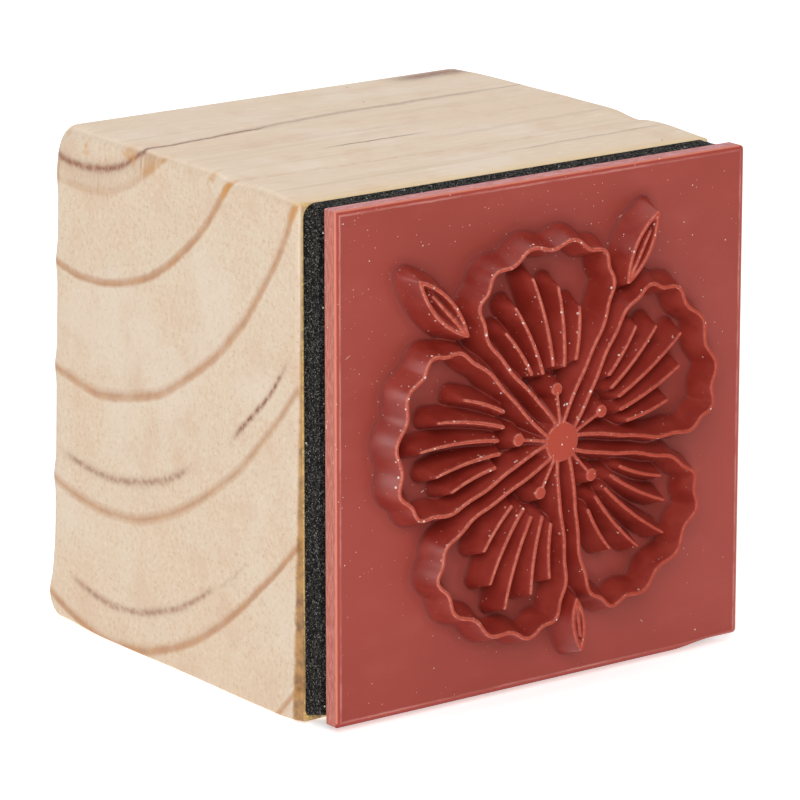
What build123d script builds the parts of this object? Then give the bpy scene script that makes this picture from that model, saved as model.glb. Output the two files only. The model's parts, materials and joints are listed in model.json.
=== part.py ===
"""Wood-mounted rubber stamp, standing on one long side of its block.

Axes: X runs along the grain of the wood, the printing face looks towards -Y, Z is up.
Origin: the middle of the bounding box's underside. All sizes are in millimetres.

Five glued layers, from the hand to the paper:
  wood_block       moulded softwood block with a finger groove along its top and bottom
  block_adhesive   film that holds the foam on the block
  foam_cushion     closed-cell foam pad, which squashes a little when the stamp is pressed
  die_adhesive     film that holds the rubber on the foam
  rubber_die       moulded rubber sheet with a raised line drawing of a plain flower
"""
from build123d import *
import math
import os

# ---- driving dimensions -------------------------------------------------------------
BLOCK_WIDTH = 31.7          # along the grain, X
BLOCK_HEIGHT = 32.8         # Z
BLOCK_TOP_DEPTH = 26.9      # Y, along the top
BLOCK_DEPTH = 28.4          # Y, along the underside: the hand face leans back a little
BLOCK_BACK_RADIUS = 1.8     # rounding of the four edges round the hand face
BLOCK_END_RADIUS = 0.5      # rounding of the end-grain edges
# Each side from its flat part to the foam: distance from the foam, and how far the side lies
# there inside the flat part. The top has a finger groove and a rounded bead before the foam,
# and the underside only turns in beside the foam.
TOP_MOULDING = [(10.2, 0), (8.7, 0.05), (7.6, 0.22), (6.6, 0.30), (5.6, 0.18), (4.6, 0.12),
                (3.4, 0.14), (2.0, 0.24), (0, 0.42)]
UNDER_MOULDING = [(2.0, 0), (1.2, 0.02), (0.5, 0.07), (0, 0.15)]

FILM = 0.08                 # each adhesive film
FOAM_THICKNESS = 1.6
FOAM_WIDTH = 31.2
FOAM_HEIGHT = 31.9
FOAM_CORNER = 0.9
GLUE_WIDTH = 30.6           # each adhesive film stays inside the foam's and the die's outlines
GLUE_HEIGHT = 31.3

DIE_WIDTH = 31.4
DIE_HEIGHT = 32.0
DIE_BASE = 1.1              # sheet under the drawing
DIE_CORNER = 0.2
RELIEF = 1.9                # height of the drawing above the sheet
DIE_LIFT = 0.4              # the die stops this far above the block's underside
DIE_SHIFT = 0.35            # the die sits this far to the right of the middle

# The raised lines stand on a wide foot and end in a narrow printing edge.
FOOT_SHARE = 0.45           # share of the relief that the foot takes
FOOT_HALF_WIDTH = 0.62
EDGE_HALF_WIDTH = 0.26
CENTRE_STEP = 0.42          # spacing of the points along a raised line

# ---- where each layer starts, along Y -------------------------------------------------
TOTAL_DEPTH = RELIEF + DIE_BASE + FILM + FOAM_THICKNESS + FILM + BLOCK_DEPTH
RELIEF_FRONT = -TOTAL_DEPTH / 2
DIE_FLOOR = RELIEF_FRONT + RELIEF
DIE_BACK = DIE_FLOOR + DIE_BASE
FOAM_FRONT = DIE_BACK + FILM
FOAM_BACK = FOAM_FRONT + FOAM_THICKNESS
BLOCK_FRONT = FOAM_BACK + FILM
BLOCK_BACK = BLOCK_FRONT + BLOCK_DEPTH
BLOCK_SHIFT = -0.2          # the block sits this far to the left of the middle
FOAM_SHIFT = -0.10
FOAM_MIDDLE = 16.45
GLUE_SHIFT = 0.05
DIE_MIDDLE = DIE_LIFT + DIE_HEIGHT / 2

# ---- the drawing ----------------------------------------------------------------------
# A plain flower: one petal repeated round a disc, with a fan of folds and a stamen on each,
# and three leaves. Places are (x, z) on the die's face, from the lower middle of the die.
FLOWER = (0.0, 15.8)        # middle of the flower
PETAL_COUNT = 5
FIRST_PETAL = 97            # direction of the first petal, in degrees
PETAL_ROOT = 0.3            # distance from the flower's middle to a petal's root
PETAL_TIP = 12.4            # and to its tip
PETAL_BREADTH = 15.6        # a petal is 0.65 of this across where it is widest
PETAL_OPENING = 0.55        # the petal's edge starts this far round, in radians
PETAL_STEPS = 34            # steps along each half of a petal's edge
RUFFLE = 0.24               # height of the waves in a petal's edge
RUFFLE_WAVES = 15
# Each fold on a petal: degrees from the petal's middle line, start, length
FOLDS = [(-19, 5.2, 3.2), (-9, 4.8, 5.0), (1, 5.0, 5.8), (11, 4.8, 4.8), (20, 5.2, 3.4)]
FOLD_BEND = 16
DISC_RADIUS = 1.2
STAMEN_LENGTH = 3.4         # from the flower's middle
STAMEN_TIP_RADIUS = 0.36
# Each leaf: its direction from the flower's middle, start, length
LEAVES = [(61, 10.6, 4.8), (133, 10.6, 5.4), (277, 10.4, 3.4)]
LEAF_TURN = 56              # degrees that each side of a leaf turns through
VEIN_SHARE = 0.7            # share of the leaf that its vein runs along


def normals(line):
    """Unit normal of the line at each of its points."""
    result = []
    last = len(line) - 1
    for i in range(last + 1):
        before = line[max(i - 1, 0)]
        after = line[min(i + 1, last)]
        run = math.dist(before, after)
        result.append(((before[1] - after[1]) / run, (after[0] - before[0]) / run))
    return result


def offset_line(line, distances):
    """The line moved sideways by its own distance at each point."""
    return [(p[0] + n[0] * s, p[1] + n[1] * s) for p, n, s in zip(line, normals(line), distances)]


def from_middle(direction, distance):
    """The place at a distance from the flower's middle, in a direction in degrees."""
    angle = math.radians(direction)
    return (FLOWER[0] + distance * math.cos(angle), FLOWER[1] + distance * math.sin(angle))


def petal_halves(direction, ruffle):
    """A petal's edge from the disc to its tip, and on from the tip back to the disc."""
    line = []
    waviness = []
    for i in range(2 * PETAL_STEPS + 1):
        turn = PETAL_OPENING + (math.pi - PETAL_OPENING) * i / PETAL_STEPS
        rise = math.sin(turn / 2)
        along = PETAL_ROOT + (PETAL_TIP - PETAL_ROOT) * rise ** 2
        across = PETAL_BREADTH * rise ** 3 * math.cos(turn / 2)
        lean = math.degrees(math.atan2(across, along))
        line.append(from_middle(direction + lean, math.hypot(along, across)))
        waviness.append(ruffle * rise ** 4 * math.sin(RUFFLE_WAVES * turn))
    line = offset_line(line, waviness)
    return [line[:PETAL_STEPS + 1], line[PETAL_STEPS:]]


def fold_line(start, heading, length, bend):
    """A fold: an arc that leaves start in the heading and turns by bend degrees."""
    count = max(2, round(length / CENTRE_STEP))
    step = length / count
    x, z = start
    line = [start]
    for i in range(count):
        angle = math.radians(heading + bend * (i + 0.5) / count)
        x += step * math.cos(angle)
        z += step * math.sin(angle)
        line.append((x, z))
    return line


def stroke(line, half_width):
    """A flat band of constant width round a line, with blunt ends."""
    reach = half_width * 0.7
    normal = normals(line)
    first = (line[0][0] - normal[0][1] * reach, line[0][1] + normal[0][0] * reach)
    final = (line[-1][0] + normal[-1][1] * reach, line[-1][1] - normal[-1][0] * reach)
    left = offset_line(line, [half_width] * len(line))
    right = offset_line(line, [-half_width] * len(line))
    outline = [first] + left + [final] + right[::-1]
    return make_face(Polyline(*outline, close=True))


def leaf_lines(direction, start, length):
    """Both sides of a leaf and its vein."""
    root = from_middle(direction, start)
    sides = [fold_line(root, direction - turn / 2, length, turn) for turn in (-LEAF_TURN, LEAF_TURN)]
    return sides + [fold_line(root, direction, length * VEIN_SHARE, 0)]


def petal_directions():
    return [FIRST_PETAL + 360 * i / PETAL_COUNT for i in range(PETAL_COUNT)]


def edge_lines(ruffle):
    """The edges of all petals."""
    return [half for direction in petal_directions() for half in petal_halves(direction, ruffle)]


def inner_lines():
    """Folds and stamens of all petals, and the leaves."""
    lines = []
    for direction in petal_directions():
        lines.append([FLOWER, from_middle(direction, STAMEN_LENGTH)])
        for lean, start, length in FOLDS:
            lines.append(fold_line(from_middle(direction + lean, start), direction + lean, length,
                                   FOLD_BEND))
    for leaf in LEAVES:
        lines += leaf_lines(*leaf)
    return lines


def raised(faces, bottom, top):
    """Solid from flat shapes on the die's face, between two heights above the sheet."""
    sketch = Sketch() + faces
    face_plane = Plane(origin=(DIE_SHIFT, DIE_FLOOR - bottom, DIE_LIFT), x_dir=(1, 0, 0),
                       z_dir=(0, -1, 0))
    return extrude(face_plane * sketch, amount=top - bottom)


def block_profile():
    """The block's outline across the grain."""
    half = BLOCK_HEIGHT / 2
    upper = [(BLOCK_FRONT + away, half - drop) for away, drop in TOP_MOULDING]
    lower = [(BLOCK_FRONT + away, drop - half) for away, drop in UNDER_MOULDING]
    front = Line(upper[-1], lower[-1])
    back = Polyline(upper[0], (BLOCK_FRONT + BLOCK_TOP_DEPTH, half), (BLOCK_BACK, -half), lower[0])
    top = Spline(*upper, tangents=[(-1, 0), (-1, -0.1)])
    under = Spline(*lower, tangents=[(-1, 0), (-1, 0.2)])
    return make_face([top, front, under, back])


def wood_block():
    profile = Plane(origin=(0, 0, 0), x_dir=(0, 1, 0), z_dir=(1, 0, 0)) * block_profile()
    block = extrude(profile, amount=BLOCK_WIDTH / 2, both=True)
    hand_face = max(block.faces(), key=lambda face: face.center().Y)
    block = fillet(hand_face.edges(), BLOCK_BACK_RADIUS)
    rims = [edge for end in block.faces().filter_by(Axis.X) for edge in end.edges()]
    block = fillet(rims, BLOCK_END_RADIUS)
    return Pos(BLOCK_SHIFT, 0, BLOCK_HEIGHT / 2) * block


def pad(width, height, corner, front, back, middle_x, middle_z):
    """A flat sheet across the stamp with rounded corners."""
    sheet = extrude(RectangleRounded(width, height, corner), amount=back - front)
    return Pos(middle_x, back, middle_z) * Rot(90, 0, 0) * sheet


def adhesive(front, back):
    return pad(GLUE_WIDTH, GLUE_HEIGHT, FOAM_CORNER, front, back, GLUE_SHIFT, FOAM_MIDDLE)


def rubber_die():
    die = pad(DIE_WIDTH, DIE_HEIGHT, DIE_CORNER, DIE_FLOOR, DIE_BACK, DIE_SHIFT, DIE_MIDDLE)
    foot_top = RELIEF * FOOT_SHARE
    foot = [stroke(line, FOOT_HALF_WIDTH) for line in edge_lines(0) + inner_lines()]
    foot.append(Pos(*FLOWER) * Circle(DISC_RADIUS + FOOT_HALF_WIDTH - EDGE_HALF_WIDTH))
    edge = [stroke(line, EDGE_HALF_WIDTH) for line in edge_lines(RUFFLE) + inner_lines()]
    edge.append(Pos(*FLOWER) * Circle(DISC_RADIUS))
    edge += [Pos(*from_middle(direction, STAMEN_LENGTH)) * Circle(STAMEN_TIP_RADIUS)
             for direction in petal_directions()]
    die += raised(foot, 0, foot_top)
    die += raised(edge, foot_top, RELIEF)
    return die


PARTS = {
    "wood_block": (wood_block, (0.87, 0.79, 0.66)),
    "block_adhesive": (lambda: adhesive(FOAM_BACK, BLOCK_FRONT), (0.93, 0.91, 0.85)),
    "foam_cushion": (lambda: pad(FOAM_WIDTH, FOAM_HEIGHT, FOAM_CORNER, FOAM_FRONT, FOAM_BACK,
                                 FOAM_SHIFT, FOAM_MIDDLE), (0.10, 0.10, 0.10)),
    "die_adhesive": (lambda: adhesive(DIE_BACK, FOAM_FRONT), (0.93, 0.91, 0.85)),
    "rubber_die": (rubber_die, (0.62, 0.27, 0.23)),
}

os.makedirs("parts", exist_ok=True)
for name, (build, colour) in PARTS.items():
    solid = build()
    solid.label = name
    solid.color = Color(*colour)
    export_step(solid, f"parts/{name}.step")
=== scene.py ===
import json
import math

import bpy
import numpy as np
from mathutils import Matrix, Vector


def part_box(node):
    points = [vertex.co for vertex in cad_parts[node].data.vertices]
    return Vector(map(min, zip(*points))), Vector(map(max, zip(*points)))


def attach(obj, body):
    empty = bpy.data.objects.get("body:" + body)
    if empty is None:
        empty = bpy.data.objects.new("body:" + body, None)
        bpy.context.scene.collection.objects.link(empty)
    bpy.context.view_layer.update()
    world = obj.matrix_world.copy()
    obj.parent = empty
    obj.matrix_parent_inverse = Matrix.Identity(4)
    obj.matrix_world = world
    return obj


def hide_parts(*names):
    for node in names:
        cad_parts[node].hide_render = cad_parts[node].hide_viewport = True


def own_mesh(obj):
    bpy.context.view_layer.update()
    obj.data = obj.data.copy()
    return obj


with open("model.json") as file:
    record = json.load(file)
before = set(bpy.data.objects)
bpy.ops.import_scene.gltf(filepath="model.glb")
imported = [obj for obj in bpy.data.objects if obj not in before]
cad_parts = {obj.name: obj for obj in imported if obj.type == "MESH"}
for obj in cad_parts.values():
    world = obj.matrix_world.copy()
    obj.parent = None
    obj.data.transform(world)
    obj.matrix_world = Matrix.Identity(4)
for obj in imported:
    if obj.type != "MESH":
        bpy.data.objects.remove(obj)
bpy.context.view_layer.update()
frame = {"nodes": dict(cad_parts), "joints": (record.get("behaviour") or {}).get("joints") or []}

MM = 0.001

# ---- places and sizes in millimetres, read from the frame -----------------------------
BLOCK_LOW, BLOCK_HIGH = (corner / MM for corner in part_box("wood_block"))
FOAM_LOW, FOAM_HIGH = (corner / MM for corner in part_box("foam_cushion"))
DIE_LOW, DIE_HIGH = (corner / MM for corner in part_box("rubber_die"))
RELIEF = 1.9                                # height of the drawing above the rubber sheet
DIE_FLOOR = DIE_LOW.y + RELIEF
DIE_X = (DIE_LOW.x + DIE_HIGH.x) / 2
RNG = np.random.default_rng(7)


# ---- small helpers ---------------------------------------------------------------------
def mesh_object(name, vertices, faces, smooth=True):
    """A mesh object from vertices in millimetres and a list or array of faces."""
    mesh = bpy.data.meshes.new(name)
    mesh.from_pydata((np.asarray(vertices) * MM).tolist(), [], [list(map(int, f)) for f in faces])
    mesh.validate()
    mesh.polygons.foreach_set("use_smooth", [smooth] * len(mesh.polygons))
    obj = bpy.data.objects.new(name, mesh)
    bpy.context.scene.collection.objects.link(obj)
    return obj


def apply_modifiers(obj):
    graph = bpy.context.evaluated_depsgraph_get()
    finished = bpy.data.meshes.new_from_object(obj.evaluated_get(graph))
    obj.modifiers.clear()
    obj.data = finished


class Nodes:
    """Short way to write a node tree: every method adds one node and gives back its output."""

    def __init__(self, name):
        self.material = bpy.data.materials.new(name)
        self.material.use_nodes = True
        self.tree = self.material.node_tree
        self.shader = self.tree.nodes["Principled BSDF"]

    def new(self, kind, **settings):
        node = self.tree.nodes.new(kind)
        for key, value in settings.items():
            setattr(node, key, value)
        return node

    def feed(self, socket, value):
        if isinstance(value, bpy.types.NodeSocket):
            self.tree.links.new(value, socket)
        elif value is not None:
            socket.default_value = value

    def place(self):
        """The point being shaded, in millimetres."""
        coordinates = self.new("ShaderNodeTexCoord").outputs["Object"]
        return self.vector("SCALE", coordinates, scale=1 / MM)

    def vector(self, operation, a, b=None, scale=None):
        node = self.new("ShaderNodeVectorMath", operation=operation)
        self.feed(node.inputs[0], a)
        if b is not None:
            self.feed(node.inputs[1], b)
        if scale is not None:
            node.inputs["Scale"].default_value = scale
        return node.outputs["Value"] if operation in ("LENGTH", "DISTANCE", "DOT_PRODUCT") \
            else node.outputs["Vector"]

    def math(self, operation, a, b=None, c=None, clamp=False):
        node = self.new("ShaderNodeMath", operation=operation, use_clamp=clamp)
        for socket, value in zip(node.inputs, (a, b, c)):
            self.feed(socket, value)
        return node.outputs[0]

    def parts(self, vector):
        node = self.new("ShaderNodeSeparateXYZ")
        self.feed(node.inputs[0], vector)
        return node.outputs

    def joined(self, x, y, z):
        node = self.new("ShaderNodeCombineXYZ")
        for socket, value in zip(node.inputs, (x, y, z)):
            self.feed(socket, value)
        return node.outputs[0]

    def noise(self, vector, scale, detail=2.0, roughness=0.5, distortion=0.0):
        node = self.new("ShaderNodeTexNoise")
        self.feed(node.inputs["Vector"], vector)
        node.inputs["Scale"].default_value = scale
        node.inputs["Detail"].default_value = detail
        node.inputs["Roughness"].default_value = roughness
        node.inputs["Distortion"].default_value = distortion
        return node.outputs["Fac"]

    def cells(self, vector, scale, feature="F1", randomness=1.0):
        node = self.new("ShaderNodeTexVoronoi", feature=feature)
        self.feed(node.inputs["Vector"], vector)
        node.inputs["Scale"].default_value = scale
        node.inputs["Randomness"].default_value = randomness
        return node

    def ramp(self, factor, stops, interpolation="LINEAR"):
        """A grey or coloured ramp from (place, value) stops."""
        node = self.new("ShaderNodeValToRGB")
        ramp = node.color_ramp
        ramp.interpolation = interpolation
        while len(ramp.elements) < len(stops):
            ramp.elements.new(0.5)
        for element, (place, value) in zip(ramp.elements, stops):
            element.position = place
            element.color = (value, value, value, 1) if isinstance(value, (int, float)) else (*value, 1)
        self.feed(node.inputs[0], factor)
        return node.outputs[0]

    def between(self, value, low, high):
        """0 below low, 1 above high, smooth between."""
        node = self.new("ShaderNodeMapRange", interpolation_type="SMOOTHSTEP")
        self.feed(node.inputs["Value"], value)
        node.inputs["From Min"].default_value = low
        node.inputs["From Max"].default_value = high
        return node.outputs["Result"]

    def mix(self, factor, a, b, blend="MIX"):
        node = self.new("ShaderNodeMix", data_type="RGBA", blend_type=blend)
        self.feed(node.inputs["Factor"], factor)
        for socket, colour in ((node.inputs[6], a), (node.inputs[7], b)):
            self.feed(socket, (*colour, 1) if isinstance(colour, tuple) and len(colour) == 3 else colour)
        return node.outputs[2]

    def bump(self, height, distance, strength=1.0, normal=None):
        node = self.new("ShaderNodeBump")
        node.inputs["Distance"].default_value = distance * MM
        node.inputs["Strength"].default_value = strength
        self.feed(node.inputs["Height"], height)
        if normal is not None:
            self.feed(node.inputs["Normal"], normal)
        return node.outputs["Normal"]

    def attribute(self, name):
        return self.new("ShaderNodeAttribute", attribute_name=name).outputs["Fac"]

    def finish(self, colour, roughness, normal=None):
        self.feed(self.shader.inputs["Base Color"], colour)
        self.feed(self.shader.inputs["Roughness"], roughness)
        if normal is not None:
            self.feed(self.shader.inputs["Normal"], normal)
        return self.material


# ---- wood --------------------------------------------------------------------------------
FRONT_Y = BLOCK_LOW.y                # the plane that the foam is glued to
PITH_AWAY, PITH_Z = 24.92, 44.34     # the tree's centre line runs along X above the block
PITH_LEAN = 0.104                    # and the rings' lowest points drift towards the foam
RING_FLAT = (0.311, 0.126, 0.131)
RINGS = ((15.1, 0.40), (20.97, 0.95), (28.08, 0.95), (35.8, 0.85), (44.35, 1.0), (53.5, 0.9))


def ring_radius(n, x, y, z):
    """Distance from the pith, flattened and leaning a little as real rings do."""
    depth = n.math("SUBTRACT", PITH_Z, z)
    side = n.math("MULTIPLY_ADD", depth, PITH_LEAN, n.math("SUBTRACT", y, FRONT_Y + PITH_AWAY))
    share = n.math("MULTIPLY", side, 1 / 20)
    drop = n.math("MULTIPLY", depth, 1 / 30)
    stretch = n.math("MULTIPLY_ADD", n.math("MULTIPLY", drop, drop), RING_FLAT[0], 1.0)
    stretch = n.math("MULTIPLY_ADD", share, RING_FLAT[1], stretch)
    stretch = n.math("MULTIPLY_ADD", n.math("MULTIPLY", share, share), RING_FLAT[2], stretch)
    side = n.math("MULTIPLY", side, stretch)
    radius = n.math("SQRT", n.math("ADD", n.math("MULTIPLY", side, side), n.math("MULTIPLY", depth, depth)))
    slow = n.noise(n.joined(n.math("MULTIPLY", x, 0.5), y, z), 0.22, 1.0)
    radius = n.math("ADD", radius, n.math("MULTIPLY", n.math("SUBTRACT", slow, 0.5), 0.45))
    radius = n.math("ADD", radius, n.math("MULTIPLY", n.math("ADD", x, 15.6), -0.035))
    fine = n.noise(n.joined(n.math("MULTIPLY", x, 0.4), y, z), 2.4, 2.0)
    return n.math("ADD", radius, n.math("MULTIPLY", n.math("SUBTRACT", fine, 0.5), 0.16))


def window(n, value, low, high, soft):
    return n.math("MULTIPLY", n.between(value, low - soft, low + soft),
                  n.math("SUBTRACT", 1.0, n.between(value, high - soft, high + soft)))


def bell(n, value, middle, width):
    """1 at the middle, falling off smoothly on both sides."""
    away = n.math("MULTIPLY", n.math("SUBTRACT", value, middle), 1 / width)
    return n.math("EXPONENT", n.math("MULTIPLY", n.math("MULTIPLY", away, away), -1.0))


def wood_material():
    n = Nodes("pine")
    p = n.place()
    x, y, z = n.parts(p)
    away = n.math("SUBTRACT", y, FRONT_Y)
    radius = ring_radius(n, x, y, z)
    facing = n.parts(n.new("ShaderNodeNewGeometry").outputs["True Normal"])
    end_face = n.between(n.math("ABSOLUTE", facing[0]), 0.45, 0.85)
    long_face = n.math("SUBTRACT", 1.0, end_face)

    grain_place = n.joined(n.math("MULTIPLY", x, 0.03), y, z)
    streaks = n.noise(grain_place, 1.3, 6.0, 0.65)
    fibres = n.noise(grain_place, 6.0, 5.0, 0.65)
    cloud = n.noise(grain_place, 0.22, 3.0, 0.6)
    mottle = n.noise(n.joined(n.math("MULTIPLY", x, 0.2), y, z), 3.2, 5.0, 0.7)

    pale = n.mix(n.between(cloud, 0.32, 0.66), (0.790, 0.620, 0.465), (0.800, 0.655, 0.510))
    flecks = n.math("MULTIPLY", n.between(mottle, 0.50, 0.72), n.math("MULTIPLY_ADD", end_face, 0.46, 0.10))
    pale = n.mix(flecks, pale, (0.640, 0.390, 0.240))
    light = n.math("MULTIPLY", n.math("SUBTRACT", 1.0, n.between(mottle, 0.32, 0.48)), 0.55)
    pale = n.mix(light, pale, (0.870, 0.760, 0.630))
    bloom = n.noise(n.vector("ADD", p, (0.0, 31.0, 7.0)), 0.16, 3.0)
    bloom = n.math("MULTIPLY", n.between(bloom, 0.50, 0.68), 0.45)
    pale = n.mix(bloom, pale, (0.850, 0.730, 0.620))
    blush = n.noise(n.vector("ADD", p, (0.0, 5.0, 70.0)), 0.35, 4.0)
    blush = n.math("MULTIPLY", n.between(blush, 0.50, 0.70), 0.40)
    pale = n.mix(blush, pale, (0.720, 0.500, 0.355))
    for grain, start, end, strength, tone in ((streaks, 0.52, 0.78, 0.38, (0.600, 0.430, 0.275)),
                                              (fibres, 0.52, 0.80, 0.30, (0.560, 0.400, 0.260))):
        share = n.math("MULTIPLY", n.between(grain, start, end), n.math("MULTIPLY", long_face, strength))
        pale = n.mix(share, pale, tone)

    span = 64.0
    along = n.math("MULTIPLY", radius, 1 / span)
    rings = []
    for ring, strength in RINGS:
        rings += [((ring - 0.42) / span, 0.0), ((ring - 0.24) / span, strength * 0.70),
                  ((ring + 0.12) / span, strength), ((ring + 0.28) / span, 0.0)]
    ring_mask = n.ramp(along, rings)
    uneven = n.math("MULTIPLY_ADD", n.noise(n.joined(n.math("MULTIPLY", x, 0.6), y, z), 0.7, 2.0), 0.9, 0.50)
    ring_mask = n.math("MULTIPLY", ring_mask, n.math("MINIMUM", uneven, 1.0))
    broken = n.between(n.noise(n.vector("ADD", p, (0.0, 9.0, 0.0)), 1.6, 4.0, 0.7), 0.40, 0.66)
    ring_mask = n.math("MULTIPLY", ring_mask, n.math("ADD", end_face, n.math("MULTIPLY", long_face,
                       n.math("MULTIPLY_ADD", broken, 0.30, 0.10))))
    ring_tone = n.mix(n.between(streaks, 0.35, 0.65), (0.560, 0.250, 0.095), (0.470, 0.220, 0.105))
    colour = n.mix(n.math("MULTIPLY", ring_mask, 0.95), pale, ring_tone)

    # short dark arcs of old resin beside some of the rings
    speckled = n.between(n.noise(p, 2.2, 3.0, 0.65), 0.30, 0.62)
    arcs = n.math("MULTIPLY", bell(n, radius, 13.72, 0.24), n.math("GREATER_THAN", z, 20.0))
    for ring, low, high, strength, width in ((33.5, 12.0, 25.6, 0.66, 0.28), (33.6, 1.6, 6.6, 1.0, 0.24),
                                             (41.8, 9.4, 25.0, 0.66, 0.26), (41.9, 5.6, 8.4, 0.25, 0.16)):
        arc = n.math("MULTIPLY", bell(n, radius, ring, width), window(n, away, low, high, 1.0))
        arcs = n.math("MAXIMUM", arcs, n.math("MULTIPLY", arc, strength))
    arcs = n.math("MULTIPLY", arcs, n.math("MULTIPLY_ADD", speckled, 0.45, 0.60))
    arc_tone = n.mix(speckled, (0.440, 0.190, 0.105), (0.250, 0.072, 0.034))
    colour = n.mix(n.math("MULTIPLY", arcs, n.math("MULTIPLY", end_face, 0.88)), colour, arc_tone)
    halo = n.math("MULTIPLY", bell(n, radius, 13.9, 0.75), n.math("GREATER_THAN", z, 20.0))
    colour = n.mix(n.math("MULTIPLY", halo, n.math("MULTIPLY", end_face, 0.22)), colour,
                   (0.500, 0.300, 0.200))
    tick_place = n.joined(0.0, n.math("MULTIPLY", y, 1.0), n.math("MULTIPLY", z, 0.05))
    ticks = n.math("MULTIPLY", n.between(n.noise(tick_place, 0.9, 3.0, 0.6), 0.55, 0.62),
                   window(n, radius, 13.9, 15.4, 0.3))
    colour = n.mix(n.math("MULTIPLY", ticks, n.math("MULTIPLY", end_face, 0.45)), colour,
                   (0.520, 0.250, 0.080))

    # streaks along the top: (distance from the foam, drift, from x, to x, width, strength)
    top_face = n.math("MULTIPLY", n.between(facing[2], 0.3, 0.8), 1.0)
    top_curve = n.math("MULTIPLY_ADD", n.between(x, -16.5, 2.0), 1.55, n.math("MULTIPLY", x, 0.012))
    wander = n.math("MULTIPLY", n.math("SUBTRACT", n.noise(n.joined(x, 0.0, 0.0), 0.35, 3.0), 0.5), 0.7)
    marks = None
    for start, drift, first, last, width, strength in (
            (16.75, 0.0, -18.0, -5.5, 0.19, 1.0), (16.80, 0.0, -9.0, 12.0, 0.30, 0.50),
            (16.75, 0.0, -3.0, 17.0, 0.14, 0.42), (10.35, 0.0, -6.0, 0.5, 0.11, 0.95),
            (24.6, 0.0, 9.5, 15.4, 0.85, 0.95), (2.9, 0.03, 3.0, 14.5, 0.10, 0.50),
            (13.2, 0.0, -14.0, 3.0, 0.12, 0.16), (8.2, 0.04, 2.0, 15.0, 0.30, 0.16)):
        line = n.math("SUBTRACT", away, n.math("MULTIPLY", n.math("ADD", x, 16.0), drift))
        line = n.math("ADD", line, wander)
        if 16 < start < 18:
            line = n.math("SUBTRACT", line, top_curve)
        mark = n.math("MULTIPLY", bell(n, line, start, width), window(n, x, first, last, 1.8))
        mark = n.math("MULTIPLY", mark, strength)
        marks = mark if marks is None else n.math("MAXIMUM", marks, mark)
    marks = n.math("MULTIPLY", marks, n.math("MULTIPLY_ADD", speckled, 0.30, 0.70))
    colour = n.mix(n.math("MULTIPLY", marks, n.math("MULTIPLY", top_face, 0.88)), colour,
                   (0.235, 0.098, 0.068))

    # burnished orange where the rings run out over the upper end edge
    at_rim = n.math("MULTIPLY", window(n, z, BLOCK_HIGH.z - 1.5, BLOCK_HIGH.z - 0.02, 0.3),
                    n.math("LESS_THAN", x, BLOCK_LOW.x + 0.9))
    patches = n.between(n.noise(n.joined(0.0, y, z), 0.6, 2.0), 0.58, 0.72)
    patches = n.math("MAXIMUM", n.math("MULTIPLY", patches, 0.50), ring_mask)
    colour = n.mix(n.math("MULTIPLY", at_rim, patches), colour, (0.680, 0.330, 0.090))

    # burnished band beside the foam, wider towards the bottom; its brown is partly burnish on the rounded
    # edge and partly painted shade of the rounding
    reach = n.math("MULTIPLY_ADD", n.math("POWER", n.math("MULTIPLY_ADD", z, -1 / 33, 1.0), 1.4), 1.05, 0.10)
    edge_wave = n.math("MULTIPLY", n.math("SUBTRACT", n.noise(p, 1.1, 4.0, 0.7), 0.5), 0.60)
    from_foam = n.math("ADD", away, n.math("MAXIMUM", n.math("SUBTRACT", FOAM_LOW.x, x), 0.0))
    burn_and_shade_reach = n.math("SUBTRACT", n.math("MULTIPLY_ADD", edge_wave, reach, reach), from_foam)
    near_left = n.math("LESS_THAN", x, BLOCK_LOW.x + 1.6)
    burn_and_shade_mask = n.math("MULTIPLY", n.between(burn_and_shade_reach, -0.10, 0.26), near_left)
    brown = n.mix(n.between(n.noise(p, 0.7, 4.0, 0.7), 0.36, 0.62), (0.200, 0.075, 0.012),
                  (0.500, 0.245, 0.055))
    colour = n.mix(n.math("MULTIPLY", burn_and_shade_mask, 0.86), colour, brown)
    # a thin bright golden line along the edge beside the foam, broken into glints: painted highlight
    glints = n.between(n.noise(p, 5.0, 2.0), 0.48, 0.62)
    painted_glint_line = n.math("MULTIPLY", n.math("LESS_THAN", from_foam, 0.09),
                    n.math("MULTIPLY_ADD", glints, 0.6, 0.3))
    colour = n.mix(n.math("MULTIPLY", painted_glint_line, 0.75), colour, (0.880, 0.640, 0.220))
    golden = n.math("MULTIPLY", n.between(away, 1.4, 0.0), n.math("MULTIPLY", top_face, 0.55))
    colour = n.mix(golden, colour, (0.800, 0.590, 0.300))

    pores = n.cells(n.joined(n.math("MULTIPLY", x, 0.05), y, z), 3.0)
    pore_mask = n.math("SUBTRACT", 1.0, n.between(pores.outputs["Distance"], 0.10, 0.24))
    pore_mask = n.math("MULTIPLY", pore_mask, n.between(n.parts(pores.outputs["Color"])[1], 0.35, 0.55))
    colour = n.mix(n.math("MULTIPLY", pore_mask, n.math("MULTIPLY", end_face, 0.40)), colour,
                   (0.500, 0.290, 0.170))
    specks_dark = specks(n, p, 0.55, 0.09, 0.13)
    colour = n.mix(n.math("MULTIPLY", specks_dark, 0.7), colour, (0.200, 0.100, 0.060))

    # both end faces painted darker than the long faces: painted shade
    colour = n.mix(end_face, colour, (0.83, 0.82, 0.795), "MULTIPLY")
    height = n.math("ADD", n.math("MULTIPLY", fibres, n.math("MULTIPLY_ADD", long_face, 0.5, 0.1)),
                    n.math("MULTIPLY", mottle, n.math("MULTIPLY", end_face, 1.0)))
    height = n.math("ADD", height, n.math("MULTIPLY", ring_mask, 0.6))
    normal = n.bump(height, 0.07, 0.60)
    roughness = n.math("MULTIPLY_ADD", mottle, 0.2, 0.52)
    n.shader.inputs["Specular IOR Level"].default_value = 0.25
    return n.finish(colour, roughness, normal)


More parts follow.
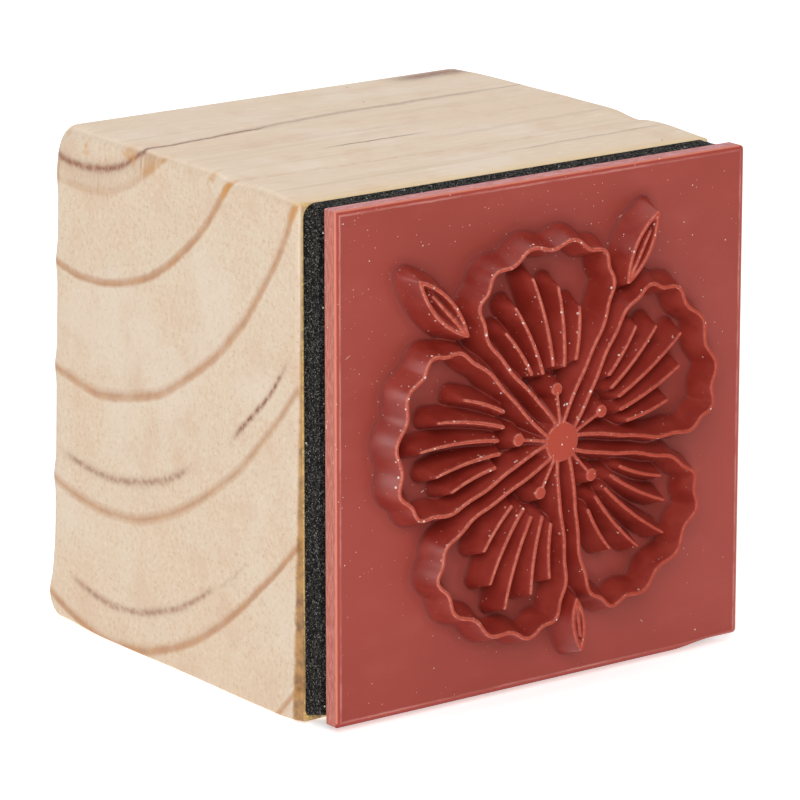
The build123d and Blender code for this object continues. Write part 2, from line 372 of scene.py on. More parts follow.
def arc(corner, arriving, leaving, radius, count=14):
    """Points of the fillet in a corner between two directions of travel."""
    arriving, leaving = (np.asarray(v, float) / np.linalg.norm(v) for v in (arriving, leaving))
    turn = math.acos(float(arriving @ leaving))
    reach = radius * math.tan(turn / 2)
    inward = (leaving - arriving) / np.linalg.norm(leaving - arriving)
    centre = np.asarray(corner) + inward * radius / math.cos(turn / 2)
    start = np.asarray(corner) - arriving * reach - centre
    first = math.atan2(start[1], start[0])
    sense = -1 if arriving[0] * leaving[1] - arriving[1] * leaving[0] < 0 else 1
    angle = first + sense * np.linspace(0, turn, count)
    return centre + radius * np.column_stack([np.cos(angle), np.sin(angle)])


TOP_MOULDING = [(10.2, 0), (8.7, 0.05), (7.6, 0.22), (6.6, 0.30), (5.6, 0.18), (4.6, 0.12),
                (3.4, 0.14), (2.0, 0.24), (0, 0.42)]
UNDER_MOULDING = [(2.0, 0), (1.2, 0.02), (0.5, 0.07), (0, 0.15)]
TOP_DEPTH, UNDER_DEPTH, BACK_RADIUS, UNDER_RADIUS = 26.9, 28.4, 1.8, 1.0


def block_outline():
    """(y, z) points round the block across the grain, from the foam over the top to the back and under."""
    high, low = BLOCK_HIGH.z, BLOCK_LOW.z

    def side(moulding, level, sign):
        distance, drop = np.array(moulding[::-1]).T
        away = np.linspace(0, distance[-1], 60)
        return np.column_stack([FRONT_Y + away, level - sign * smooth_through(distance, drop, away)])

    upper, under = side(TOP_MOULDING, high, 1), side(UNDER_MOULDING, low, -1)
    top_back = np.array([FRONT_Y + TOP_DEPTH, high])
    low_back = np.array([FRONT_Y + UNDER_DEPTH, low])
    down = low_back - top_back
    first, second = arc(top_back, (1, 0), down, BACK_RADIUS), arc(low_back, down, (-1, 0), UNDER_RADIUS)
    stretches = [upper, line_between(upper[-1], first[0]), first, line_between(first[-1], second[0]), second,
                 line_between(second[-1], under[-1]), under[::-1], line_between(under[0], upper[0])]
    points = np.vstack([stretch[:-1] for stretch in stretches])
    step = np.linalg.norm(np.diff(points, axis=0, append=points[:1]), axis=1)
    travelled = np.concatenate([[0], np.cumsum(step)])
    wanted = np.linspace(0, travelled[-1], 520, endpoint=False)
    closed = np.vstack([points, points[:1]])
    return np.column_stack([np.interp(wanted, travelled, closed[:, k]) for k in (0, 1)])


def line_between(a, b, count=30):
    return np.linspace(a, b, count)


def smooth_through(places, values, wanted):
    """Monotone-free cubic Hermite curve through the given values."""
    slopes = np.gradient(values, places)
    index = np.clip(np.searchsorted(places, wanted) - 1, 0, len(places) - 2)
    step = places[index + 1] - places[index]
    t = (wanted - places[index]) / step
    a, b = values[index], values[index + 1]
    ma, mb = slopes[index] * step, slopes[index + 1] * step
    return ((2 * t ** 3 - 3 * t ** 2 + 1) * a + (t ** 3 - 2 * t ** 2 + t) * ma
            + (-2 * t ** 3 + 3 * t ** 2) * b + (t ** 3 - t ** 2) * mb)


def make_block():
    outline = block_outline()
    count = len(outline)
    centre = (outline.max(axis=0) + outline.min(axis=0)) / 2
    half = (outline.max(axis=0) - outline.min(axis=0)) / 2
    away = outline[:, 0] - FRONT_Y
    up = (outline[:, 1] - BLOCK_LOW.z) / (BLOCK_HIGH.z - BLOCK_LOW.z)
    rounding = np.full(count, 0.60)
    rounding[up < 0.02] = 0.25
    rounding[away < 0.05] = (0.90 - 0.72 * up)[away < 0.05]
    rounding[away > TOP_DEPTH - 2.5] = 1.30
    rounding[(away > TOP_DEPTH - 2.5) & (up < 0.10)] = 0.70
    kernel = np.hanning(31) / np.hanning(31).sum()
    rounding = np.convolve(np.concatenate([rounding[-15:], rounding, rounding[:15]]), kernel, "valid")

    loops = []

    def loop(x, inset):
        shrunk = 1 - np.broadcast_to(inset, count)[:, None] / half
        loops.append(np.column_stack([np.broadcast_to(x, count), centre + (outline - centre) * shrunk]))

    def rounded_end(side, x_end):
        return [(x_end + side * rounding * (1 - math.cos(angle)), rounding * (1 - math.sin(angle)))
                for angle in np.linspace(0, math.pi / 2, 10)]

    def cap(x_end):
        rim = centre + (outline - centre) * (1 - rounding[:, None] / half)
        for share in np.linspace(0.03, 0.985, 22):
            loops.append(np.column_stack([np.full(count, x_end), centre + (rim - centre) * share]))

    cap(BLOCK_LOW.x)
    for x, inset in rounded_end(1, BLOCK_LOW.x):
        loop(x, inset)
    for x in np.linspace(BLOCK_LOW.x + 2.0, BLOCK_HIGH.x - 2.0, 40):
        loop(x, 0.0)
    for x, inset in reversed(rounded_end(-1, BLOCK_HIGH.x)):
        loop(x, inset)
    start = len(loops)
    cap(BLOCK_HIGH.x)
    loops[start:] = loops[start:][::-1]
    vertices = np.vstack(loops)
    faces = []
    here = np.arange(count)
    following = (here + 1) % count
    for row in range(len(loops) - 1):
        faces.append(np.column_stack([here, following, following + count, here + count]) + row * count)
    faces = [list(f) for f in np.vstack(faces)]
    faces.append(list(here[::-1]))
    faces.append(list(here + (len(loops) - 1) * count))
    block = mesh_object("softwood_block", ring_ridges(vertices), faces)
    block.data.materials.append(wood_material())
    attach(block, "block")
    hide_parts("wood_block")


def ring_ridges(vertices):
    """Latewood stands a little proud on the sanded faces, so the edges wave where a ring crosses them."""
    depth = PITH_Z - vertices[:, 2]
    side = vertices[:, 1] - FRONT_Y - PITH_AWAY + PITH_LEAN * depth
    share = side / 20
    side = side * (1 + RING_FLAT[0] * (depth / 30) ** 2 + RING_FLAT[1] * share + RING_FLAT[2] * share ** 2)
    radius = np.hypot(side, depth)
    swell = sum(np.exp(-((radius - ring) / 0.9) ** 2) for ring, _ in RINGS)
    centre = np.array([(a + b) / 2 for a, b in zip(BLOCK_LOW, BLOCK_HIGH)])
    half = np.array([(b - a) / 2 for a, b in zip(BLOCK_LOW, BLOCK_HIGH)])
    relative = (vertices - centre) / half
    near_back = np.clip((relative[:, 1] + 0.5) * 2, 0, 1)
    shrink = 0.10 * (1 - swell) * near_back
    out = vertices.copy()
    for axis in (0, 1):
        out[:, axis] -= np.sign(relative[:, axis]) * shrink * np.abs(relative[:, axis]) ** 6
    return out


# ---- foam --------------------------------------------------------------------------------
FOAM_CORNER, FOAM_LOW_CORNER = 0.9, 0.35


def rounded_outline(width, height, upper, lower, step):
    """Points round a rectangle with rounded upper and lower corners, centred on the origin."""
    points = []
    for quarter, (sx, sy) in enumerate(((1, 1), (-1, 1), (-1, -1), (1, -1))):
        start = quarter * math.pi / 2
        corner = upper if sy > 0 else lower
        for turn in np.linspace(0, math.pi / 2, max(4, int(corner * math.pi / 2 / step))):
            points.append((sx * (width / 2 - corner) + corner * math.cos(start + turn),
                           sy * (height / 2 - corner) + corner * math.sin(start + turn)))
    dense = []
    for a, b in zip(points, points[1:] + points[:1]):
        count = max(1, int(math.dist(a, b) / step))
        for i in range(count):
            dense.append((a[0] + (b[0] - a[0]) * i / count, a[1] + (b[1] - a[1]) * i / count))
    return np.array(dense)


def foam_material():
    n = Nodes("black foam")
    p = n.place()
    cell = n.cells(p, 7.5)
    shade = n.parts(cell.outputs["Color"])[0]
    wall = n.between(cell.outputs["Distance"], 0.30, 0.62)
    colour = n.mix(n.math("MULTIPLY", n.math("POWER", shade, 2.5), wall), (0.002, 0.002, 0.002),
                   (0.110, 0.103, 0.092))
    grit = n.cells(p, 11.0)
    glint = n.math("MULTIPLY", n.math("GREATER_THAN", n.parts(grit.outputs["Color"])[1], 0.82),
                   n.math("LESS_THAN", grit.outputs["Distance"], 0.42))
    colour = n.mix(n.math("MULTIPLY", glint, 0.85), colour, (0.330, 0.310, 0.275))
    dust = n.math("MAXIMUM", specks(n, p, 2.6, 0.060, 0.16), specks(n, p, 1.4, 0.090, 0.06))
    colour = n.mix(dust, colour, (0.66, 0.64, 0.58))
    n.shader.inputs["Specular IOR Level"].default_value = 0.10
    height = n.math("SUBTRACT", n.math("MULTIPLY", glint, 0.6),
                    n.math("MULTIPLY", cell.outputs["Distance"], 1.4))
    return n.finish(colour, 0.65, n.bump(height, 0.12, 0.9))


def make_foam():
    width, depth, height = FOAM_HIGH - FOAM_LOW
    centre = (FOAM_LOW + FOAM_HIGH) / 2
    outline = rounded_outline(width, height, FOAM_CORNER, FOAM_LOW_CORNER, 0.12)
    count = len(outline)
    direction = outline / np.linalg.norm(outline, axis=1)[:, None]
    rows = 14
    vertices = []
    for row in range(rows + 1):
        y = FOAM_LOW.y + depth * row / rows
        torn = RNG.uniform(0.0, 0.07, count) + 0.03 * np.sin(np.arange(count) * 0.31 + row)
        torn = np.clip(torn, 0, 0.1) * (0 < row < rows) + 0.02
        ring = outline - direction * torn[:, None]
        z = centre.z + ring[:, 1]
        slant = 0.45 * (1 - row / rows) * np.clip((FOAM_LOW.z + 1.6 - z) / 1.6, 0, 1)
        vertices.append(np.column_stack([centre.x + ring[:, 0], np.full(count, y), z + slant]))
    vertices = np.vstack(vertices)
    faces = []
    for row in range(rows):
        a = row * count + np.arange(count)
        b = row * count + (np.arange(count) + 1) % count
        faces += [list(f) for f in np.column_stack([a, a + count, b + count, b])]
    faces.append(list(range(count)))
    faces.append(list(range(rows * count, (rows + 1) * count))[::-1])
    foam = mesh_object("foam_pad", vertices, faces)
    foam.data.materials.append(foam_material())
    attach(foam, "block")
    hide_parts("foam_cushion")
    travel = frame["joints"][0]["range_m"][1] if frame["joints"] else 0
    if travel:
        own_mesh(foam)
    return foam


# ---- the die's drawing ---------------------------------------------------------------------
# A plain flower: one petal repeated round a disc, with a fan of folds and a stamen on each,
# and three leaves. Places are (x, z) in millimetres on the die's face, from its lower middle.
FLOWER = np.array((0.0, 15.8))      # middle of the flower
PETAL_COUNT = 5
FIRST_PETAL = 97                    # direction of the first petal, in degrees
PETAL_ROOT = 0.3                    # distance from the flower's middle to a petal's root
PETAL_TIP = 12.4                    # and to its tip
PETAL_BREADTH = 15.6                # a petal is 0.65 of this across where it is widest
PETAL_OPENING = 0.55                # the petal's edge starts this far round, in radians
RUFFLE = 0.24                       # height of the waves in a petal's edge
RUFFLE_WAVES = 15
# Each fold on a petal: degrees from the petal's middle line, start, length
FOLDS = [(-19, 5.2, 3.2), (-9, 4.8, 5.0), (1, 5.0, 5.8), (11, 4.8, 4.8), (20, 5.2, 3.4)]
FOLD_BEND = 16
DISC_RADIUS = 1.2
STAMEN_LENGTH = 3.4                 # from the flower's middle
STAMEN_TIP_RADIUS = 0.36
# Each leaf: its direction from the flower's middle, start, length
LEAVES = [(61, 10.6, 4.8), (133, 10.6, 5.4), (277, 10.4, 3.4)]
LEAF_TURN = 56                      # degrees that each side of a leaf turns through
VEIN_SHARE = 0.7                    # share of the leaf that its vein runs along
SAMPLE = 0.12                       # spacing of the points along a line
PETAL_EDGE_LENGTH = 34              # about how long one petal's edge is
GRID = 0.05                         # spacing of the points of the die's front
LINE_HALF_WIDTH = 0.08
TIP_HALF_WIDTH = 0.05
FLANK_REACH = 0.70                  # how far a raised line's foot spreads beyond its top
FIELD_REACH = 3.0                   # distances from the lines are worked out this far
RIM_BEVEL = 0.28                    # width of the sheet's bevelled rim
RIM_DROP = 0.10                     # and how far the bevel falls back at the edge
KEPT_TRIANGLES = 0.235              # share of the die's triangles that thinning keeps
DIE_CORNERS = ((0.06, 0.10), (0.30, 0.35))    # left: lower and upper; right: lower and upper


def from_middle(direction, distance):
    angle = math.radians(direction)
    return FLOWER + distance * np.array((math.cos(angle), math.sin(angle)))


def petal_edge(direction):
    """A petal's ruffled edge, from the disc round its tip and back."""
    turn = np.linspace(PETAL_OPENING, 2 * math.pi - PETAL_OPENING, round(PETAL_EDGE_LENGTH / SAMPLE))
    rise = np.sin(turn / 2)
    along = PETAL_ROOT + (PETAL_TIP - PETAL_ROOT) * rise ** 2
    across = PETAL_BREADTH * rise ** 3 * np.cos(turn / 2)
    angle = math.radians(direction) + np.arctan2(across, along)
    line = FLOWER + np.hypot(along, across)[:, None] * np.column_stack([np.cos(angle), np.sin(angle)])
    ahead = np.gradient(line, axis=0)
    normal = np.column_stack([-ahead[:, 1], ahead[:, 0]]) / np.linalg.norm(ahead, axis=1)[:, None]
    return line + normal * (RUFFLE * rise ** 4 * np.sin(RUFFLE_WAVES * turn))[:, None]


def fold_line(start, heading, length, bend):
    count = max(2, round(length / SAMPLE))
    angle = np.radians(heading + bend * (np.arange(count) + 0.5) / count)
    steps = np.column_stack([np.cos(angle), np.sin(angle)]) * length / count
    return np.vstack([[start], start + np.cumsum(steps, axis=0)])


def tapered(line):
    """A line that narrows towards its far end, as its points and its half width at each."""
    share = np.linspace(0, 1, len(line))
    return line, LINE_HALF_WIDTH + (TIP_HALF_WIDTH - LINE_HALF_WIDTH) * share ** 2


def dot(middle, radius):
    return np.array([middle, middle + (0.001, 0)]), np.full(2, radius)


def drawn_lines():
    """Every raised line as its points and its half width at each of them."""
    lines = [dot(FLOWER, DISC_RADIUS)]
    for direction in FIRST_PETAL + 360 * np.arange(PETAL_COUNT) / PETAL_COUNT:
        edge = petal_edge(direction)
        lines.append((edge, np.full(len(edge), LINE_HALF_WIDTH)))
        stamen_tip = from_middle(direction, STAMEN_LENGTH)
        lines.append(tapered(np.array([FLOWER, stamen_tip])))
        lines.append(dot(stamen_tip, STAMEN_TIP_RADIUS))
        for lean, start, length in FOLDS:
            root = from_middle(direction + lean, start)
            lines.append(tapered(fold_line(root, direction + lean, length, FOLD_BEND)))
    for direction, start, length in LEAVES:
        root = from_middle(direction, start)
        for turn in (-LEAF_TURN, LEAF_TURN):
            side = fold_line(root, direction - turn / 2, length, turn)
            lines.append((side, np.full(len(side), LINE_HALF_WIDTH)))
        lines.append(tapered(fold_line(root, direction, length * VEIN_SHARE, 0)))
    return lines


def outside_distance(u, w):
    """How far each point of the die's face is outside the nearest raised line's top."""
    field = np.full((len(w), len(u)), FIELD_REACH)
    reach = DISC_RADIUS + FIELD_REACH
    for line, half_width in drawn_lines():
        for a, b, wa, wb in zip(line, line[1:], half_width, half_width[1:]):
            low = np.minimum(a, b) - reach
            high = np.maximum(a, b) + reach
            i0, i1 = np.searchsorted(u, (low[0], high[0]))
            j0, j1 = np.searchsorted(w, (low[1], high[1]))
            du = u[None, i0:i1] - a[0]
            dw = w[j0:j1, None] - a[1]
            run = b - a
            t = np.clip((du * run[0] + dw * run[1]) / max(run @ run, 1e-9), 0, 1)
            distance = np.hypot(du - t * run[0], dw - t * run[1]) - (wa + (wb - wa) * t)
            window = field[j0:j1, i0:i1]
            np.minimum(window, distance, out=window)
    return field


def blurred(field, spread):
    reach = int(3 * spread / GRID) + 1
    kernel = np.exp(-0.5 * (np.arange(-reach, reach + 1) * GRID / spread) ** 2)
    kernel /= kernel.sum()
    for axis in (0, 1):
        margins = [(reach, reach) if a == axis else (0, 0) for a in (0, 1)]
        padded = np.pad(field, margins, mode="edge")
        field = np.apply_along_axis(np.convolve, axis, padded, kernel, "valid")
    return field


def die_surface():
    width, height = DIE_HIGH.x - DIE_LOW.x, DIE_HIGH.z - DIE_LOW.z
    u = np.linspace(-width / 2, width / 2, round(width / GRID) + 1)
    w = np.linspace(0, height, round(height / GRID) + 1)
    outside = outside_distance(u, w)
    flank = np.clip(1 - outside / FLANK_REACH, 0, 1)
    relief = RELIEF * flank
    relief = blurred(relief, 0.04)
    foot = np.exp(-np.clip(outside - FLANK_REACH, 0, 3) / 0.16) * 0.07 * (outside > FLANK_REACH * 0.8)
    relief = np.maximum(relief, blurred(foot, 0.06))
    relief = np.minimum(relief, RELIEF - 0.01)
    to_rim = np.minimum(np.minimum(u - u[0], u[-1] - u)[None, :], np.minimum(w - w[0], w[-1] - w)[:, None])
    return u, w, outside, relief, to_rim


def make_die():
    u, w, outside, relief, to_rim = die_surface()
    bevel = RIM_DROP * np.clip(1 - to_rim / RIM_BEVEL, 0, 1) ** 1.5
    bevel -= 0.015 * np.exp(-((to_rim - RIM_BEVEL - 0.03) / 0.05) ** 2)
    uu, ww = np.meshgrid(u, w)
    front = np.stack([DIE_X + uu, DIE_FLOOR - relief + bevel, DIE_LOW.z + ww], axis=-1)
    front = rounded_corners(front)
    rows, columns = relief.shape
    index = np.arange(rows * columns).reshape(rows, columns)
    faces = np.stack([index[:-1, :-1], index[:-1, 1:], index[1:, 1:], index[1:, :-1]], -1).reshape(-1, 4)
    rim = np.concatenate([index[0, :], index[1:, -1], index[-1, -2::-1], index[-2:0:-1, 0]])
    vertices = [front.reshape(-1, 3)]
    edge = vertices[0][rim]
    previous = rim
    start = rows * columns
    side_faces = []
    levels = np.linspace(0, 1, 8)[1:]
    for level in levels:
        ring = edge.copy()
        ring[:, 1] = edge[:, 1] + (DIE_HIGH.y - edge[:, 1]) * level
        vertices.append(ring)
        current = start + np.arange(len(rim))
        start += len(rim)
        side_faces.append(np.column_stack([previous, current, np.roll(current, -1), np.roll(previous, -1)]))
        previous = current
    side_faces = np.vstack(side_faces)
    mesh_faces = np.vstack([faces, side_faces])
    vertices = np.vstack(vertices)
    die = mesh_object("rubber_relief", vertices, [*mesh_faces, previous])
    thin = die.modifiers.new("thin", "DECIMATE")
    thin.ratio = KEPT_TRIANGLES
    apply_modifiers(die)
    sample_outside(die, u, w, outside)
    die.data.materials.append(rubber_material())
    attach(die, "die")
    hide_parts("rubber_die")


def rounded_corners(points):
    """Pulls each corner in to its own radius, and trims the lower edge a little at the right."""
    out = points.copy()
    half = np.array([(DIE_HIGH.x - DIE_LOW.x) / 2, (DIE_HIGH.z - DIE_LOW.z) / 2])
    middle = np.array([DIE_X, (DIE_LOW.z + DIE_HIGH.z) / 2])
    flat = points[..., [0, 2]] - middle
    radii = np.array(DIE_CORNERS)[(flat[..., 0] > 0).astype(int), (flat[..., 1] > 0).astype(int)][..., None]
    over = np.abs(flat) - (half - radii)
    corner = (over > 0).all(axis=-1)
    reach = np.linalg.norm(over, axis=-1)
    scale = np.where(corner, over.max(axis=-1) / np.maximum(reach, 1e-9), 1.0)
    pulled = np.sign(flat) * (half - radii + over * scale[..., None])
    flat = np.where(corner[..., None], pulled, flat)
    out[..., [0, 2]] = flat + middle
    along = np.clip((out[..., 0] - 10.8) / 3.2, 0, 1)
    low = np.clip(1 - (out[..., 2] - DIE_LOW.z) / 1.5, 0, 1)
    out[..., 2] += 0.25 * along ** 2 * (3 - 2 * along) * low
    return out


def sample_outside(die, u, w, outside):
    """Stores on each vertex how far it is outside the nearest line's top, for the material."""
    count = len(die.data.vertices)
    places = np.zeros(count * 3, np.float32)
    die.data.vertices.foreach_get("co", places)
    places = places.reshape(-1, 3) / MM
    column = np.clip((places[:, 0] - DIE_X - u[0]) / (u[1] - u[0]), 0, len(u) - 1.001)
    row = np.clip((places[:, 2] - DIE_LOW.z) / (w[1] - w[0]), 0, len(w) - 1.001)
    i, j = column.astype(int), row.astype(int)
    fu, fw = column - i, row - j
    value = ((outside[j, i] * (1 - fu) + outside[j, i + 1] * fu) * (1 - fw)
             + (outside[j + 1, i] * (1 - fu) + outside[j + 1, i + 1] * fu) * fw)
    attribute = die.data.attributes.new("outside", "FLOAT", "POINT")
    attribute.data.foreach_set("value", value.astype(np.float32))


def specks(n, place, per_mm, radius, share, where=1.0):
    """Mask of small round specks: so many per mm each way, in so large a share of the cells."""
    node = n.cells(place, per_mm)
    least = n.math("MULTIPLY_ADD", where, -share, 1.0)
    chosen = n.math("GREATER_THAN", n.parts(node.outputs["Color"])[0], least)
    near = n.math("LESS_THAN", node.outputs["Distance"], radius * per_mm)
    return n.math("MULTIPLY", chosen, near)


def turned_place(n, x, y, z, angle, stretch, seed):
    """The place turned about Y and drawn out along its new first axis."""
    along = n.math("MULTIPLY_ADD", z, math.sin(angle) * stretch, seed)
    along = n.math("MULTIPLY_ADD", x, math.cos(angle) * stretch, along)
    across = n.math("MULTIPLY_ADD", x, -math.sin(angle), n.math("MULTIPLY", z, math.cos(angle)))
    return n.joined(along, y, across)


def rubber_material():
    n = Nodes("red rubber")
    p = n.place()
    x, y, z = n.parts(p)
    outside = n.attribute("outside")
    cloud = n.noise(p, 0.10, 3.0)
    grain = n.noise(p, 6.0, 3.0, 0.6)
    smear = n.noise(n.joined(n.math("MULTIPLY", x, 0.5), y, z), 0.5, 4.0, 0.6)
    floor = n.mix(n.between(cloud, 0.3, 0.7), (0.290, 0.040, 0.026), (0.325, 0.048, 0.034))
    floor = n.mix(n.math("MULTIPLY", n.between(smear, 0.48, 0.75), 0.30), floor, (0.370, 0.075, 0.057))
    # the raised lines' flanks a darker, deeper red than the floor: partly the rubber's own colour there,
    # partly painted shade
    flank = n.mix(n.between(smear, 0.35, 0.65), (0.235, 0.020, 0.012), (0.300, 0.034, 0.022))
    on_floor = n.between(outside, FLANK_REACH - 0.06, FLANK_REACH + 0.05)
    colour = n.mix(on_floor, flank, floor)
    # a dark line along the foot of each flank: painted shade in the crease
    shaded_foot = n.ramp(n.math("MULTIPLY", outside, 1 / 2.0),
                     [(0.29, 0.0), (0.35, 1.0), (0.39, 0.45), (0.70, 0.0)])
    colour = n.mix(n.math("MULTIPLY", shaded_foot, 0.62), colour, (0.135, 0.020, 0.016))

    # the narrow printing edge, with a fine pale lip on each side; the lip is partly wear and partly painted
    # highlight on the edges
    on_top = n.math("SUBTRACT", 1.0, n.between(outside, -0.03, 0.04))
    to_right = n.between(n.math("MULTIPLY_ADD", z, -0.35, x), -12.0, 8.0)
    top_tone = n.mix(to_right, (0.400, 0.062, 0.038), (0.370, 0.046, 0.026))
    colour = n.mix(on_top, colour, top_tone)
    lip = n.ramp(n.math("ADD", outside, 0.5), [(0.45, 0.0), (0.49, 1.0), (0.52, 1.0), (0.56, 0.0)])
    wear_and_highlight = n.between(n.noise(p, 3.4, 3.0, 0.7), 0.36, 0.60)
    lip_tone = n.mix(to_right, (0.680, 0.220, 0.150), (0.520, 0.100, 0.058))
    colour = n.mix(n.math("MULTIPLY", lip, n.math("MULTIPLY_ADD", wear_and_highlight, 0.55, 0.18)), colour, lip_tone)

    facing = n.parts(n.new("ShaderNodeNewGeometry").outputs["True Normal"])
    cut = n.math("MULTIPLY", n.math("LESS_THAN", n.math("ABSOLUTE", facing[1]), 0.5),
                 n.math("GREATER_THAN", y, DIE_FLOOR + 0.06))
    streak_place = n.joined(n.math("MULTIPLY", x, 1.5), n.math("MULTIPLY", y, 9.0),
                            n.math("MULTIPLY", z, 1.5))
    streaks = n.noise(streak_place, 1.0, 4.0)
    side_colour = n.mix(n.between(streaks, 0.35, 0.7), (0.420, 0.120, 0.092), (0.570, 0.215, 0.170))
    rough_cut = n.noise(p, 9.0, 3.0, 0.7)
    side_colour = n.mix(n.math("MULTIPLY", n.between(rough_cut, 0.50, 0.72), 0.45), side_colour,
                        (0.300, 0.080, 0.060))
    # the upward-facing cut face paler and pinker than the side cut faces: the cut rubber's own pale colour
    # plus painted highlight
    upper_cut = n.mix(n.between(streaks, 0.35, 0.65), (0.520, 0.205, 0.195), (0.680, 0.340, 0.345))
    side_colour = n.mix(n.between(facing[2], 0.4, 0.8), side_colour, upper_cut)
    colour = n.mix(cut, colour, side_colour)

    # the sheet's rim: a pale edge that is painted highlight, dark along the lower edge as painted shade, a
    # darker band, then a second, fainter line of painted highlight
    across = n.math("MINIMUM", n.math("SUBTRACT", x, DIE_LOW.x), n.math("SUBTRACT", DIE_HIGH.x, x))
    upright = n.math("MINIMUM", n.math("SUBTRACT", z, DIE_LOW.z), n.math("SUBTRACT", DIE_HIGH.z, z))
    rim = n.math("MINIMUM", across, upright)
    wobble = n.math("MULTIPLY", n.math("SUBTRACT", n.noise(p, 1.2, 4.0, 0.7), 0.5), 0.10)
    on_front = n.math("LESS_THAN", y, DIE_FLOOR + 0.14)
    rim_edge_light_and_shade = n.ramp(n.math("MULTIPLY_ADD", wobble, 0.3, rim), [(0.0, 1.0), (0.07, 0.9), (0.12, 0.0)])
    inner_rim_highlight = n.ramp(n.math("ADD", rim, wobble), [(0.22, 0.0), (0.28, 1.0), (0.33, 0.9), (0.40, 0.0)])
    inner_rim_highlight = n.math("MULTIPLY", inner_rim_highlight,
                         n.math("MULTIPLY_ADD", n.between(smear, 0.36, 0.62), 0.65, 0.25))
    band = n.ramp(rim, [(0.08, 0.0), (0.14, 1.0), (0.22, 1.0), (0.30, 0.0)])
    colour = n.mix(n.math("MULTIPLY", n.math("MULTIPLY", band, on_front), 0.35), colour,
                   (0.420, 0.055, 0.036))
    above = n.between(z, DIE_LOW.z + 0.15, DIE_LOW.z + 0.35)
    # the edge line dark along the lower edge as painted shade, pale elsewhere as painted highlight
    rim_light_and_shade_tone = n.mix(above, (0.250, 0.022, 0.020), (0.730, 0.240, 0.160))
    colour = n.mix(n.math("MULTIPLY", n.math("MULTIPLY", rim_edge_light_and_shade, on_front), 0.80), colour, rim_light_and_shade_tone)
    colour = n.mix(n.math("MULTIPLY", n.math("MULTIPLY", inner_rim_highlight, on_front), 0.75), colour,
                   (0.590, 0.240, 0.205))

    # dust and short fibres, most of them at the upper left
    corner = n.math("MULTIPLY_ADD", x, -0.022, n.math("MULTIPLY_ADD", z, 0.022, 0.02))
    corner = n.math("MAXIMUM", corner, 0.12)
    dust = n.math("MAXIMUM", specks(n, p, 1.5, 0.045, 0.55, corner), specks(n, p, 3.1, 0.028, 0.60, corner))
    near_top = n.math("LESS_THAN", outside, 0.14)
    dust = n.math("MAXIMUM", dust, n.math("MULTIPLY", near_top, specks(n, p, 2.4, 0.080, 1.10, corner)))
    for angle, seed, stretch in ((0.5, 0.0, 0.14), (-0.7, 40.0, 0.20), (1.4, 90.0, 0.16), (1.0, 150.0, 0.10)):
        place = turned_place(n, x, y, z, angle, stretch, seed)
        dust = n.math("MAXIMUM", dust, specks(n, place, 1.1, 0.032, 0.30, corner))
    bits = n.mix(n.between(n.noise(p, 0.9, 1.0), 0.45, 0.55), (0.560, 0.290, 0.230), (0.860, 0.740, 0.660))
    colour = n.mix(n.math("MULTIPLY", dust, 0.80), colour, bits)

    roughness = n.math("MULTIPLY_ADD", on_floor, 0.16, 0.30)
    roughness = n.math("MULTIPLY_ADD", smear, 0.14, roughness)
    roughness = n.math("MULTIPLY_ADD", on_top, 0.20, roughness)
    roughness = n.math("MULTIPLY_ADD", n.math("MAXIMUM", cut, shaded_foot), 0.35, roughness)
    shine = n.math("MULTIPLY_ADD", on_top, -0.38, n.math("MULTIPLY_ADD", on_floor, -0.20, 0.50))
    n.feed(n.shader.inputs["Specular IOR Level"], shine)
    height = n.math("MULTIPLY_ADD", n.math("MULTIPLY", cut, streaks), 2.0, grain)
    normal = n.bump(n.math("MULTIPLY_ADD", dust, 1.5, height), 0.012, 0.5)
    return n.finish(colour, roughness, normal)


def film_material():
    n = Nodes("clear adhesive")
    tone = n.mix(n.noise(n.place(), 2.0, 3.0), (0.55, 0.50, 0.42), (0.70, 0.66, 0.58))
    return n.finish(tone, 0.35)


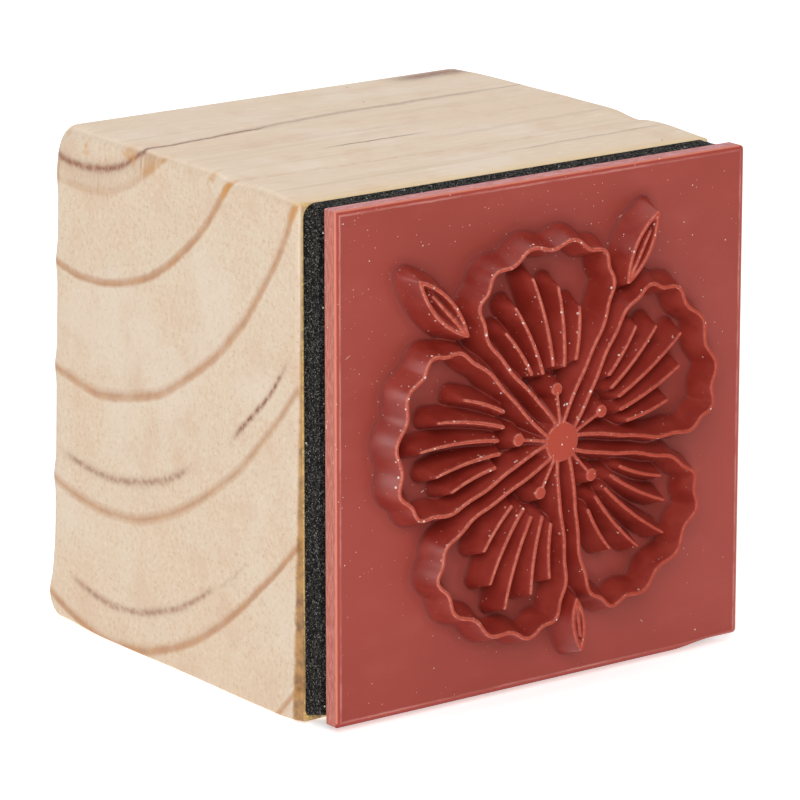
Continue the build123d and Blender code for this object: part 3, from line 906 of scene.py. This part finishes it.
# ---- stage ------------------------------------------------------------------------------------
def make_stage():
    n = Nodes("paper sweep")
    p = n.place()
    tone = n.mix(n.noise(p, 0.01, 2.0), (0.90, 0.90, 0.90), (0.93, 0.93, 0.93))
    n.feed(n.shader.inputs["Emission Color"], (1, 1, 1, 1))
    n.shader.inputs["Emission Strength"].default_value = 0.50
    sweep_material = n.finish(tone, 0.9)
    reach, rise, bend = 900.0, 900.0, 300.0
    turn = np.linspace(0, math.pi / 2, 16)
    line = [(-reach, 0.0)] + [(reach - bend + bend * math.sin(a), bend - bend * math.cos(a)) for a in turn]
    line.append((reach, rise))
    vertices = [(x, y, z) for y, z in line for x in (-1500.0, 1500.0)]
    faces = [[2 * i, 2 * i + 1, 2 * i + 3, 2 * i + 2] for i in range(len(line) - 1)]
    sweep = mesh_object("paper_sweep", vertices, faces)
    sweep.data.materials.append(sweep_material)


def area_light(name, place, target, size, power):
    light = bpy.data.lights.new(name, "AREA")
    light.shape = "RECTANGLE"
    light.size, light.size_y = size[0] * MM, size[1] * MM
    light.energy = power
    holder = bpy.data.objects.new(name, light)
    holder.location = Vector(place) * MM
    holder.rotation_mode = "QUATERNION"
    holder.rotation_quaternion = (Vector(target) - Vector(place)).to_track_quat("-Z", "Y")
    bpy.context.scene.collection.objects.link(holder)
    return holder


def make_lights():
    world = bpy.data.worlds.new("studio")
    world.use_nodes = True
    background = world.node_tree.nodes["Background"]
    background.inputs["Color"].default_value = (1, 1, 1, 1)
    background.inputs["Strength"].default_value = 0.32
    bpy.context.scene.world = world
    middle = (0, 0, 16)
    area_light("key", (-260, -340, 330), middle, (300, 300), 1.50)
    area_light("fill", (260, -380, 160), middle, (300, 300), 0.08)
    area_light("top", (0, 60, 480), middle, (400, 400), 0.56)
    sheen = area_light("sheen", (-430, 70, 150), middle, (160, 260), 0.6)
    sheen.visible_diffuse = False


def make_camera():
    azimuth, elevation, distance = math.radians(-36.58), math.radians(14.95), 328.8
    target = Vector((-6.27, -9.07, 18.45))
    back = Vector((math.sin(azimuth) * math.cos(elevation), -math.cos(azimuth) * math.cos(elevation),
                   math.sin(elevation)))
    data = bpy.data.cameras.new("camera")
    data.lens, data.sensor_width = 241.5, 36.0
    data.shift_x, data.shift_y = -0.003, -0.003
    data.clip_start, data.clip_end = 0.01, 10.0
    camera = bpy.data.objects.new("camera", data)
    camera.location = (target + back * distance) * MM
    camera.rotation_mode = "QUATERNION"
    camera.rotation_quaternion = (-back).to_track_quat("-Z", "Y")
    bpy.context.scene.collection.objects.link(camera)
    bpy.context.scene.camera = camera


bpy.context.scene.view_settings.view_transform = "Standard"
make_camera()
make_lights()
make_stage()
make_block()
make_foam()
make_die()
for film in ("block_adhesive", "die_adhesive"):
    frame["nodes"][film].data.materials.clear()
    frame["nodes"][film].data.materials.append(film_material())
